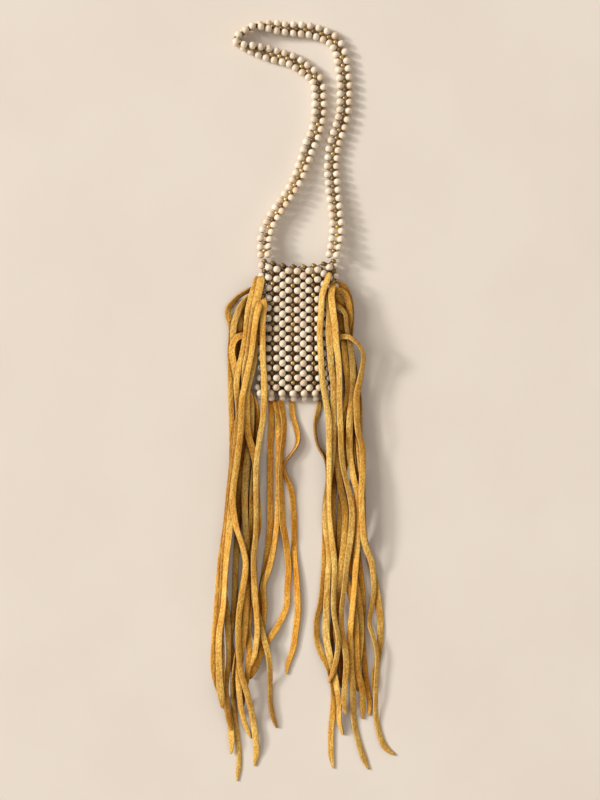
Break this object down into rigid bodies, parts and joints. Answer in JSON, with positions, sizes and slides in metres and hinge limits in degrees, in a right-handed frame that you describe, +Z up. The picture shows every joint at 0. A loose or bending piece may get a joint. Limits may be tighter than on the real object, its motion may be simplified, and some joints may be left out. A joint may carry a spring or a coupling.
{
  "type": "beaded medicine bag",
  "caption": "Small flat pouch of cream and brass beadwork with a beaded strap and long mustard suede laces, lying flat.",
  "frame": {"origin": "middle of the underside of the pouch and its strap, on the surface that the bag lies on, the laces left out", "axes": "+Y from the pouch towards the strap's far end, +Z up from the surface, +X to the right seen from above"},
  "size_m": [0.16, 0.6619, 0.0254],
  "materials": {
    "cream_beads": "satin",
    "brass_beads": "satin",
    "suede": "matte"
  },
  "bodies": {
    "root": {"brass_column_front_1": "brass_beads", "brass_column_front_2": "brass_beads", "brass_column_front_4": "brass_beads", "brass_column_front_6": "brass_beads", "brass_column_front_8": "brass_beads", "cream_column_front_1": "cream_beads", "cream_column_front_2": "cream_beads", "cream_ribbon_front_3": "cream_beads", "cream_ribbon_front_5": "cream_beads", "cream_ribbon_front_7": "cream_beads", "bottom_row_front": "cream_beads", "brass_column_back_1": "brass_beads", "brass_column_back_2": "brass_beads", "brass_column_back_4": "brass_beads", "brass_column_back_6": "brass_beads", "brass_column_back_8": "brass_beads", "cream_column_back_1": "cream_beads", "cream_column_back_2": "cream_beads", "cream_ribbon_back_3": "cream_beads", "cream_ribbon_back_5": "cream_beads", "cream_ribbon_back_7": "cream_beads", "bottom_row_back": "cream_beads", "strap": "cream_beads", "lace_left_1": "suede", "lace_left_2": "suede", "lace_left_3": "suede", "lace_left_4": "suede", "lace_left_5": "suede", "lace_left_6": "suede", "lace_left_7": "suede", "lace_left_8": "suede", "lace_left_9": "suede", "lace_left_10": "suede", "lace_left_11": "suede", "lace_middle_1": "suede", "lace_middle_2": "suede", "lace_middle_3": "suede", "lace_middle_4": "suede", "lace_right_1": "suede", "lace_right_2": "suede", "lace_right_3": "suede", "lace_right_4": "suede", "lace_right_5": "suede", "lace_right_6": "suede", "lace_right_7": "suede", "lace_right_8": "suede", "lace_right_9": "suede", "lace_right_10": "suede", "lace_right_11": "suede", "lace_right_12": "suede"}
  },
  "joints": []
}
